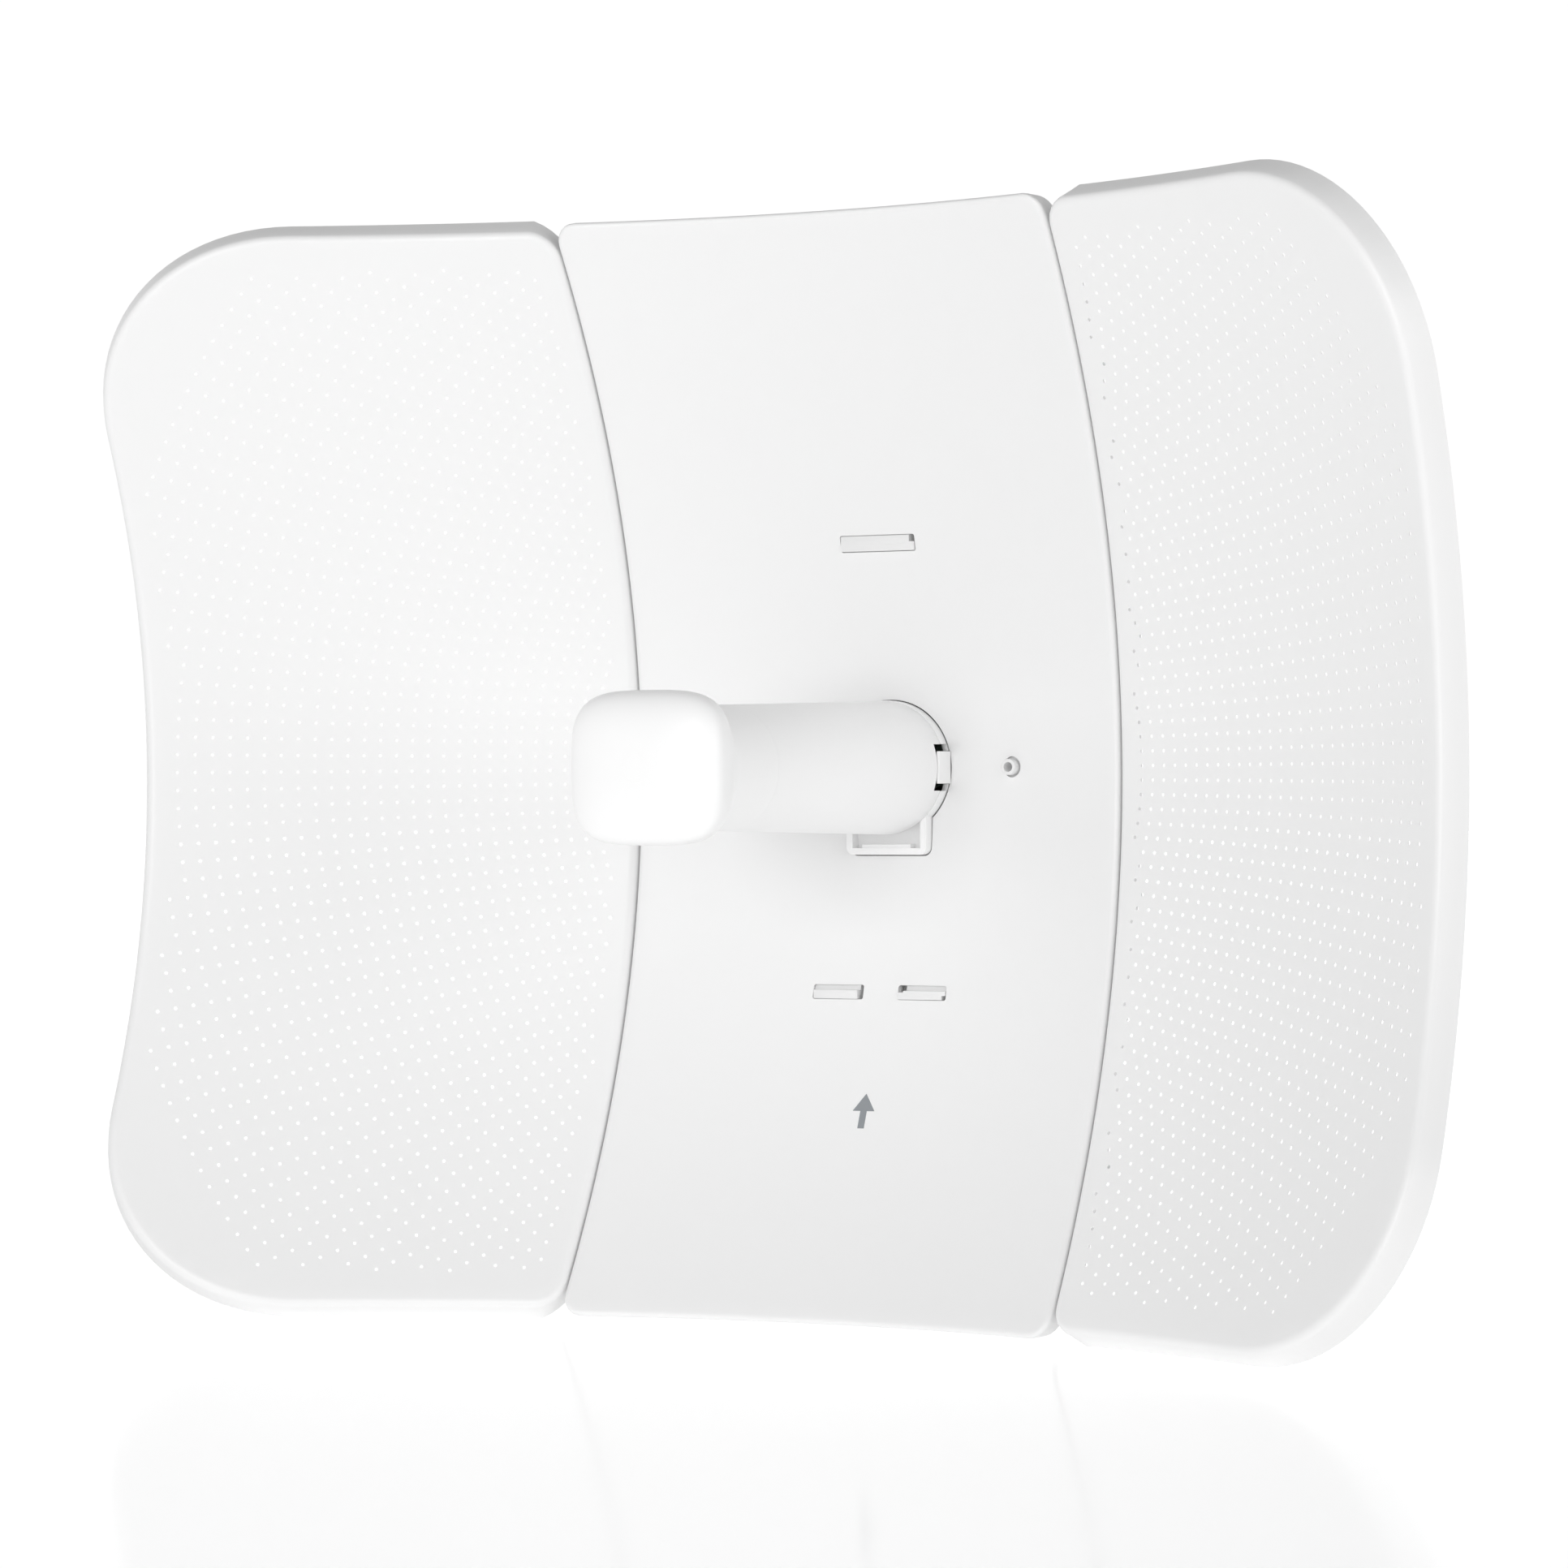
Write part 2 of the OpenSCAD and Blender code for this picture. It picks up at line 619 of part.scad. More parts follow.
// Slot about the pivot for the lock bolt, its round ends a little wider than its sides
module tilt_slot() {
    reach = lock_arm + 3.2;
    wide = reach * tan(tilt_max) * 1.2;
    intersection() {
        difference() {
            rod_x(reach, ear_x - 1, ear_x + ear_t + 1);
            rod_x(lock_arm - 3.2, ear_x - 2, ear_x + ear_t + 2);
        }
        rotate([90, 0, 90]) translate([0, 0, ear_x - 1]) linear_extrude(ear_t + 2)
            polygon([[0, 0], [wide, reach * 1.2], [-wide, reach * 1.2]]);
    }
    for (a = [-1, 1] * tilt_max) rotate([a, 0, 0]) translate([0, 0, lock_arm])
        rod_x(3.35, ear_x - 1, ear_x + ear_t + 1);
}

module pole_bracket() {
    slot_end = lock_arm * [sin(tilt_max), cos(tilt_max)];
    outline = concat(
        [[pivot_y - flange_y - 1, -22], [13, -22]],
        ear_arc(9, 150, 270, 8),
        ear_arc(ear_rim, -110, -tilt_max - 5, 6, [-slot_end[0], slot_end[1]]),
        ear_arc(lock_arm + ear_rim, -tilt_max, tilt_max, 8),
        ear_arc(ear_rim, tilt_max + 5, 78, 4, slot_end),
        [[pivot_y - flange_y - 1, 24]]);
    color("#dfe1e3") {
        pole_grip(clamp_h / 2);
        for (s = [0, 1]) mirror([s, 0, 0]) translate([0, -pivot_y, 0]) difference() {
            rotate([90, 0, 90]) translate([0, 0, ear_x]) linear_extrude(ear_t) polygon(outline);
            rod_x(pivot_r + fit, 0, 40);
            tilt_slot();
        }
    }
}

module pivot_bolt() {
    side = ear_x + ear_t;
    color("#b9bdc2") translate([0, -pivot_y, 0]) {
        rod_x(pivot_r, -side - 2, side + 10);
        rod_x(8, -side - washer_t, -side);
        hex_x(13, -side - washer_t - 5.3, -side - washer_t);
    }
}

module pivot_nut() {
    side = ear_x + ear_t;
    color("#b9bdc2") translate([0, -pivot_y, 0]) difference() {
        union() {
            rod_x(8, side, side + washer_t);
            hex_x(13, side + washer_t, side + washer_t + m8_head);
        }
        rod_x(pivot_r + fit, side - 1, side + 20);
    }
}

module lock_bolt() {
    side = ear_x + ear_t + 0.4;
    color("#b9bdc2") translate([0, -pivot_y, lock_arm]) {
        rod_x(3, -side - 2, side + 8.6);
        rod_x(6.3, -side - washer_t, -side);
        hex_x(10, -side - washer_t - 4, -side - washer_t);
    }
}

module lock_nut() {
    side = ear_x + ear_t + 0.4;
    color("#b9bdc2") translate([0, -pivot_y, lock_arm]) difference() {
        union() {
            rod_x(6.3, side, side + washer_t);
            hex_x(10, side + washer_t, side + washer_t + 5);
        }
        rod_x(3 + fit, side - 1, side + 20);
    }
}

module clamp_bolts() {
    color("#b9bdc2") for (s = [-1, 1]) translate([s * clamp_x, 0, 0]) {
        rod_y(pivot_r, -flange_y - grip_t - 1, bolt_end);
        rod_y(m8_head, -flange_y - grip_t - 5, -flange_y - grip_t);
    }
}

module clamp_jaw() {
    color("#dfe1e3") mirror([0, 1, 0]) pole_grip(clamp_h / 2);
}

module clamp_washers() {
    y = flange_y + grip_t;
    color("#b9bdc2") for (s = [-1, 1]) translate([s * clamp_x, 0, 0]) difference() {
        rod_y(8, y, y + washer_t);
        rod_y(pivot_r + 0.25, y - 1, y + washer_t + 1);
    }
}

// Hexagon nut on one of the clamp bolts
module clamp_nut() {
    y = flange_y + grip_t + washer_t;
    color("#b9bdc2") difference() {
        hex_y(13, y, y + m8_head);
        rod_y(pivot_r + fit, y - 1, y + m8_head + 1);
    }
}

module clamp_nut_left() {
    translate([-clamp_x, 0, 0]) clamp_nut();
}

module clamp_nut_right() {
    translate([clamp_x, 0, 0]) clamp_nut();
}

center_panel();
left_panel();
right_panel();
left_seam_strip();
right_seam_strip();
seam_screws();
dish_bracket();
tilt_clevis();
clevis_screws();
level_housing();
level_vial();
feed_tube();
head_cover();
subreflector();
driven_element();
element_spacer();
main_board();
rf_shield();
heat_spreader();
ethernet_jack();
light_pipes();
feed_base();
base_gasket();
base_screws();
feed_latch();
port_cover();
reset_button();
pole_bracket();
pivot_bolt();
pivot_nut();
lock_bolt();
lock_nut();
clamp_bolts();
clamp_jaw();
clamp_washers();
clamp_nut_left();
clamp_nut_right();
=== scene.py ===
"""Visible model of an outdoor wireless bridge: a three-panel dish, its plug-in feed and its pole mount."""
import logging
import math
from dataclasses import dataclass, field
from enum import Enum

import bmesh
import bpy
from mathutils import Matrix, Vector


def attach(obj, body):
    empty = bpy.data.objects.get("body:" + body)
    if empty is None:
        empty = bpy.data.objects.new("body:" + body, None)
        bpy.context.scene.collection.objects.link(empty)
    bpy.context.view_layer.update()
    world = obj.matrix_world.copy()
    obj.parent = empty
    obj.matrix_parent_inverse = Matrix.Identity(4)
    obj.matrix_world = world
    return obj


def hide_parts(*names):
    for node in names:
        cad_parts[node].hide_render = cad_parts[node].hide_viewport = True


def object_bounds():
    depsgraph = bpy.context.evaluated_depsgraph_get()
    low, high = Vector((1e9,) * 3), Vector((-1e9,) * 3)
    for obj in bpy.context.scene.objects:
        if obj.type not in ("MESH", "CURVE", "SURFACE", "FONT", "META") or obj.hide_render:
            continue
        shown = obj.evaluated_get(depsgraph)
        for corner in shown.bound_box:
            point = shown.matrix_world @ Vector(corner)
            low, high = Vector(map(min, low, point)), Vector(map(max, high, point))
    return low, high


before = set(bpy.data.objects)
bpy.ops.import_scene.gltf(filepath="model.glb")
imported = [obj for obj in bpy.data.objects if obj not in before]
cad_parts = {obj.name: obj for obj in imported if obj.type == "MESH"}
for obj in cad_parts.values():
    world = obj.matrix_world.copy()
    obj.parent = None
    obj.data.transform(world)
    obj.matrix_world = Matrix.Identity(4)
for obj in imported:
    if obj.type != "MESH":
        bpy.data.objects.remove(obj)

CAD_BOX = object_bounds()
LOG = logging.getLogger("wireless_bridge")
MM = 0.001
# The dish's vertex, in front of the pole's axis
VERTEX_Y = -81 * MM
# Drawn triangles that face backwards by more than this, in square metres, are folds
FOLD_AREA = 2e-9
# Faces of a CAD mesh that meet at less than FLAT_ANGLE are one face, and edges past SHARP_ANGLE are eased
FLAT_ANGLE = math.radians(0.6)
SHARP_ANGLE = math.radians(32)


class Side(Enum):
    """The two sides of the dish."""

    LEFT = -1
    RIGHT = 1


# ---- nodes and colours ----
def linear(hex_code: str, alpha: float = 1.0) -> tuple[float, float, float, float]:
    """Turns an sRGB hex colour into linear RGBA.

    Args:
        hex_code: Six hex digits.
        alpha: Opacity of the colour.

    Returns:
        The four linear channels.
    """
    parts = [int(hex_code[i:i + 2], 16) / 255 for i in (0, 2, 4)]
    flat = [c / 12.92 if c <= 0.04045 else ((c + 0.055) / 1.055) ** 2.4 for c in parts]
    return flat[0], flat[1], flat[2], alpha


def add_node(tree: bpy.types.NodeTree, kind: str, settings: dict | None = None,
             inputs: dict | None = None) -> bpy.types.Node:
    """Adds one node with its settings and its inputs.

    Args:
        tree: The tree that gets the node.
        kind: The node's type, without "ShaderNode".
        settings: Attribute names with their values.
        inputs: Socket names or numbers, each with a value or with an output to link.

    Returns:
        The new node.
    """
    node = tree.nodes.new("ShaderNode" + kind)
    for name, value in (settings or {}).items():
        setattr(node, name, value)
    for name, value in (inputs or {}).items():
        if isinstance(value, bpy.types.NodeSocket):
            tree.links.new(value, node.inputs[name])
        else:
            node.inputs[name].default_value = value
    return node


# ---- finishes ----
@dataclass(frozen=True)
class Finish:
    """A surface finish: colour, gloss, a fine grain and slow changes over the surface."""

    name: str
    colour: str
    roughness: float
    slot: str
    metallic: float = 0.0
    ior: float = 1.5
    grain_mm: float = 0.5
    grain_depth_mm: float = 0.01
    patch_mm: float = 45.0
    patch_rough: float = 0.05
    patch_colour: str | None = None
    transmission: float = 0.0
    coat: float = 0.0

    def shade(self, tree: bpy.types.NodeTree, place: bpy.types.NodeSocket) -> dict:
        """Gives the shader inputs that vary over the surface.

        Args:
            tree: The material's node tree.
            place: Object coordinates, in metres.

        Returns:
            Shader socket names with the outputs that drive them.
        """
        patch = add_node(tree, "TexNoise", {}, {"Vector": place, "Scale": 1 / (self.patch_mm * MM), "Detail": 3.0})
        rough = add_node(tree, "MapRange", {}, {
            "Value": patch.outputs["Fac"], "From Min": 0.3, "From Max": 0.7,
            "To Min": self.roughness - self.patch_rough, "To Max": self.roughness + self.patch_rough})
        grain = add_node(tree, "TexNoise", {}, {"Vector": place, "Scale": 1 / (self.grain_mm * MM), "Detail": 2.0})
        bump = add_node(tree, "Bump", {}, {
            "Height": grain.outputs["Fac"], "Distance": self.grain_depth_mm * MM, "Strength": 1.0})
        driven = {"Roughness": rough.outputs["Result"], "Normal": bump.outputs["Normal"]}
        if self.patch_colour:
            mix = add_node(tree, "Mix", {"data_type": "RGBA"}, {
                0: patch.outputs["Fac"], 6: linear(self.colour), 7: linear(self.patch_colour)})
            driven["Base Color"] = mix.outputs[2]
        return driven

    def make(self) -> bpy.types.Material:
        """Builds the material, once for each name.

        Returns:
            The material.
        """
        found = bpy.data.materials.get(self.name)
        if found:
            return found
        material = bpy.data.materials.new(self.name)
        material.use_nodes = True
        tree = material.node_tree
        shader = tree.nodes["Principled BSDF"]
        shader.inputs["Base Color"].default_value = linear(self.colour)
        shader.inputs["Roughness"].default_value = self.roughness
        shader.inputs["Metallic"].default_value = self.metallic
        shader.inputs["IOR"].default_value = self.ior
        shader.inputs["Transmission Weight"].default_value = self.transmission
        shader.inputs["Coat Weight"].default_value = self.coat
        place = add_node(tree, "TexCoord").outputs["Object"]
        for socket, output in self.shade(tree, place).items():
            tree.links.new(output, shader.inputs[socket])
        return material


@dataclass(frozen=True)
class SpangledZinc(Finish):
    """Hot-dip galvanised steel: flat crystals of zinc, each a little brighter or duller."""

    spangle_mm: float = 5.0
    spangle_rough: float = 0.09

    def shade(self, tree: bpy.types.NodeTree, place: bpy.types.NodeSocket) -> dict:
        """Adds the crystals to the plain finish.

        Args:
            tree: The material's node tree.
            place: Object coordinates, in metres.

        Returns:
            Shader socket names with the outputs that drive them.
        """
        driven = super().shade(tree, place)
        cells = add_node(tree, "TexVoronoi", {"feature": "F1"}, {
            "Vector": place, "Scale": 1 / (self.spangle_mm * MM)})
        tone = add_node(tree, "MapRange", {}, {
            "Value": cells.outputs["Color"], "From Min": 0.0, "From Max": 1.0,
            "To Min": self.roughness - self.spangle_rough, "To Max": self.roughness + self.spangle_rough})
        mix = add_node(tree, "Mix", {"data_type": "RGBA"}, {
            0: cells.outputs["Color"], 6: linear(self.colour), 7: linear(self.patch_colour or self.colour)})
        driven["Roughness"] = tone.outputs["Result"]
        driven["Base Color"] = mix.outputs[2]
        return driven


# Polyester powder coat, sprayed and baked: a matt-satin white with a faint orange peel
POWDER_COAT = Finish("powder_coated_steel", "EFEFEF", 0.42, "white_coated_sheet",
                     grain_mm=2.2, grain_depth_mm=0.012, patch_mm=60, patch_rough=0.03)
# ASA, injection moulded in a lightly spark-eroded tool: even satin white, grit about 0.3 mm
ASA_PLASTIC = Finish("moulded_asa", "FAFAFA", 0.38, "white_plastic",
                     grain_mm=0.45, grain_depth_mm=0.006, patch_mm=35, patch_rough=0.04)
# The same plastic with painted shade, its colour darker for places that get little light, and with the tool's coarser
# texture
ASA_RIBBED_SHADED = Finish("moulded_asa_textured_painted_shade", "E8E8E8", 0.5, "white_plastic",
                    grain_mm=0.7, grain_depth_mm=0.02, patch_mm=25, patch_rough=0.05)
# Pressed steel brackets, hot-dip galvanised: grey metal with crystals of about 5 mm
GALVANISED = SpangledZinc("galvanised_steel", "B4B8BA", 0.42, "grey_coated_steel", metallic=1.0,
                          grain_mm=0.8, grain_depth_mm=0.008, patch_colour="C9CCCD")
# Bright zinc plate on steel fasteners: smooth, slightly blue metal
ZINC_PLATE = Finish("zinc_plated_steel", "C6CACC", 0.27, "zinc_steel", metallic=1.0,
                    grain_mm=0.5, grain_depth_mm=0.004, patch_mm=9, patch_rough=0.07, patch_colour="B9BBB6")
# Rolled aluminium sheet: pale metal with a soft sheen
ALUMINIUM = Finish("rolled_aluminium", "D2D4D6", 0.33, "bare_aluminium", metallic=1.0,
                   grain_mm=0.6, grain_depth_mm=0.004, patch_mm=15)
# Brass contact, drawn and lightly tarnished
BRASS = Finish("drawn_brass", "C7A25B", 0.3, "contact_brass", metallic=1.0, patch_mm=12, patch_colour="B08D4A")
# Unpigmented plastic of the element holder: milky and slightly soft
NATURAL = Finish("natural_plastic", "E9E9DF", 0.45, "natural_plastic", patch_mm=20)
# Glass-fibre laminate under green solder resist: glossy, with the weave just showing
LAMINATE = Finish("board_laminate", "1F5A38", 0.3, "board_laminate", grain_mm=0.5, grain_depth_mm=0.01,
                  patch_mm=18, patch_colour="2A6B45")
# Clear acrylic light pipes
ACRYLIC = Finish("clear_acrylic", "F3F5F6", 0.12, "clear_plastic", ior=1.49, transmission=0.6, patch_mm=10)
# Moulded nitrile rubber of the seal: dark and dull
RUBBER = Finish("nitrile_rubber", "26272A", 0.75, "black_rubber", grain_mm=0.3, grain_depth_mm=0.01)
# Grey plastic of the reset button
GREY_PLASTIC = Finish("grey_moulded_plastic", "6C7074", 0.45, "grey_plastic", grain_mm=0.3)
# Acrylic vial filled with yellow-green spirit
VIAL = Finish("filled_acrylic_vial", "CFE58B", 0.06, "vial_glass", ior=1.36, transmission=0.75, patch_mm=8,
              patch_rough=0.01, grain_depth_mm=0.0)
# Pad-printed ink of the mounting mark: flat mid grey
PRINT = Finish("pad_printed_ink", "8E9296", 0.55, "grey_plastic", grain_mm=0.4, grain_depth_mm=0.003)


# ---- mesh helpers ----
def dress_node(node: str, finish: Finish) -> None:
    """Gives a CAD node that stays its finish.

    Args:
        node: The CAD node.
        finish: Its finish.
    """
    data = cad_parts[node].data
    data.materials.clear()
    data.materials.append(finish.make())
    LOG.info("%s: dressed as %s", node, finish.name)


def finished(name: str, mesh: bmesh.types.BMesh, finish: Finish, body: str, replaces: tuple[str, ...] = (),
             sharp_deg: float = 32) -> bpy.types.Object:
    """Turns a bmesh into a piece of the object.

    Args:
        name: The piece's name.
        mesh: Its shape, in metres, in the row's frame. It is freed.
        finish: Its finish.
        body: The body that it rides on.
        replaces: CAD nodes that it stands for.
        sharp_deg: Edges sharper than this angle stay sharp.

    Returns:
        The new object.
    """
    data = bpy.data.meshes.new(name)
    mesh.to_mesh(data)
    mesh.free()
    data.polygons.foreach_set("use_smooth", [True] * len(data.polygons))
    data.set_sharp_from_angle(angle=math.radians(sharp_deg))
    data.materials.clear()
    data.materials.append(finish.make())
    piece = bpy.data.objects.new(name, data)
    bpy.context.scene.collection.objects.link(piece)
    if replaces:
        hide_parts(*replaces)
    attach(piece, body)
    LOG.info("%s: %d faces on %s", name, len(data.polygons), body)
    return piece


def applied(mesh: bmesh.types.BMesh, *modifiers: tuple[str, dict]) -> bmesh.types.BMesh:
    """Runs modifiers over a bmesh.

    Args:
        mesh: The shape. It is freed.
        modifiers: Pairs of a modifier type and its settings.

    Returns:
        The changed shape.
    """
    data = bpy.data.meshes.new("work")
    mesh.to_mesh(data)
    mesh.free()
    item = bpy.data.objects.new("work", data)
    bpy.context.scene.collection.objects.link(item)
    for kind, settings in modifiers:
        modifier = item.modifiers.new(kind.lower(), kind)
        for key, value in settings.items():
            setattr(modifier, key, value)
    bpy.context.view_layer.update()
    result = bmesh.new()
    result.from_object(item, bpy.context.evaluated_depsgraph_get())
    bpy.data.objects.remove(item)
    bpy.data.meshes.remove(data)
    return result


def cut_by(mesh: bmesh.types.BMesh, cutter: bmesh.types.BMesh) -> bmesh.types.BMesh:
    """Cuts one closed shape out of another.

    Args:
        mesh: The shape that is cut. It is freed.
        cutter: The shape that cuts. It is freed.

    Returns:
        What is left.
    """
    data = bpy.data.meshes.new("cutter")
    cutter.to_mesh(data)
    cutter.free()
    tool = bpy.data.objects.new("cutter", data)
    bpy.context.scene.collection.objects.link(tool)
    result = applied(mesh, ("BOOLEAN", {"operation": "DIFFERENCE", "object": tool, "solver": "MANIFOLD"}))
    bpy.data.objects.remove(tool)
    bpy.data.meshes.remove(data)
    return result


def add_rod(mesh: bmesh.types.BMesh, radius: float, start: Vector, end: Vector, sides: int = 48,
            end_radius: float | None = None) -> None:
    """Adds a round bar or a cone between two points.

    Args:
        mesh: The shape that gets it.
        radius: Its radius, in metres.
        start: Its first end, in metres.
        end: Its second end, in metres.
        sides: Faces round it.
        end_radius: Radius at the second end, where it isn't the same.
    """
    along = end - start
    turn = along.to_track_quat("Z", "Y").to_matrix().to_4x4()
    bmesh.ops.create_cone(mesh, cap_ends=True, segments=sides, radius1=radius,
                          radius2=radius if end_radius is None else end_radius,
                          depth=along.length, matrix=Matrix.Translation((start + end) / 2) @ turn)


def add_box(mesh: bmesh.types.BMesh, low: tuple, high: tuple, round_y: float = 0.0) -> None:
    """Adds a box between two corners.

    Args:
        mesh: The shape that gets it.
        low: Its lowest corner, in millimetres.
        high: Its highest corner, in millimetres.
        round_y: Radius of its edges along Y, in millimetres.
    """
    low, high = Vector(low) * MM, Vector(high) * MM
    place = Matrix.Translation((low + high) / 2) @ Matrix.Diagonal((*(high - low), 1))
    made = bmesh.ops.create_cube(mesh, size=1, matrix=place)["verts"]
    if round_y:
        edges = [e for e in {e for v in made for e in v.link_edges}
                 if abs((e.verts[0].co - e.verts[1].co).normalized().y) > 0.99]
        bmesh.ops.bevel(mesh, geom=edges, offset=round_y * MM, offset_type="OFFSET", segments=6,
                        profile=0.5, affect="EDGES", material=-1)


def spun(profile: list[tuple[float, float]], steps: int = 96, closed: bool = True) -> bmesh.types.BMesh:
    """Spins a profile about the dish axis.

    Args:
        profile: Points as radius and place along +Y, in millimetres from the vertex.
        steps: Faces round the axis.
        closed: Whether the last point joins the first.

    Returns:
        The spun shape.
    """
    mesh = bmesh.new()
    verts = [mesh.verts.new((r * MM, VERTEX_Y + y * MM, 0)) for r, y in profile]
    pairs = list(zip(verts, verts[1:] + verts[:1])) if closed else list(zip(verts, verts[1:]))
    edges = [mesh.edges.new(pair) for pair in pairs]
    bmesh.ops.spin(mesh, geom=verts + edges, cent=(0, 0, 0), axis=(0, 1, 0), angle=math.tau,
                   steps=steps, use_merge=True)
    bmesh.ops.remove_doubles(mesh, verts=mesh.verts, dist=1e-6)
    bmesh.ops.recalc_face_normals(mesh, faces=mesh.faces)
    return mesh


def merged_copy(node: str) -> bmesh.types.BMesh:
    """Copies a CAD node's mesh and joins its loose triangles into whole faces.

    Args:
        node: The CAD node.

    Returns:
        The copy.
    """
    mesh = bmesh.new()
    mesh.from_mesh(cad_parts[node].data)
    bmesh.ops.remove_doubles(mesh, verts=mesh.verts, dist=2e-6)
    bmesh.ops.dissolve_limit(mesh, angle_limit=FLAT_ANGLE, verts=mesh.verts, edges=mesh.edges)
    return mesh


def softened(node: str, width: float, segments: int = 2) -> bmesh.types.BMesh:
    """Copies a CAD node and rounds its sharp edges.

    Args:
        node: The CAD node.
        width: Width of the rounding, in millimetres.
        segments: Faces across it.

    Returns:
        The rounded shape.
    """
    return eased(merged_copy(node), width, segments)


def eased(mesh: bmesh.types.BMesh, width: float, segments: int = 2) -> bmesh.types.BMesh:
    """Rounds the sharp edges of a shape.

    Args:
        mesh: The shape. It is freed.
        width: Width of the rounding, in millimetres.
        segments: Faces across it.

    Returns:
        The rounded shape.
    """
    return refilled(applied(mesh, ("BEVEL", {
        "width": width * MM, "segments": segments, "limit_method": "ANGLE",
        "angle_limit": SHARP_ANGLE, "profile": 0.5, "use_clamp_overlap": True, "miter_outer": "MITER_ARC"})))


def refilled(mesh: bmesh.types.BMesh) -> bmesh.types.BMesh:
    """Fills again each many-sided face that would be drawn with folds, as plain triangles.

    Args:
        mesh: The shape, which is changed.

    Returns:
        The same shape.
    """
    folded = set()
    for loops in mesh.calc_loop_triangles():
        a, b, c = (loop.vert.co for loop in loops)
        face = loops[0].face
        if len(face.verts) > 4 and (b - a).cross(c - a).dot(face.normal) < -FOLD_AREA:
            folded.add(face)
    for face in folded:
        edges, normal = face.edges[:], face.normal.copy()
        bmesh.ops.delete(mesh, geom=[face], context="FACES_ONLY")
        made = bmesh.ops.triangle_fill(mesh, use_beauty=True, use_dissolve=False, edges=edges, normal=normal)["geom"]
        for item in made:
            if isinstance(item, bmesh.types.BMFace):
                item.normal_update()
                if item.normal.dot(normal) < 0:
                    item.normal_flip()
    return mesh


# ---- reflector ----
@dataclass(frozen=True)
class DishSurface:
    """The curved front of the dish; lengths in millimetres."""

    focal: float = 161.2

    def point(self, x: float, z: float) -> Vector:
        """Place on the surface, in metres."""
        return Vector((x, -(x * x + z * z) / (4 * self.focal), z)) * MM + Vector((0, VERTEX_Y, 0))

    def back(self, x: float, z: float) -> Vector:
        """Unit normal that points behind the dish."""
        return Vector((x / (2 * self.focal), 1, z / (2 * self.focal))).normalized()


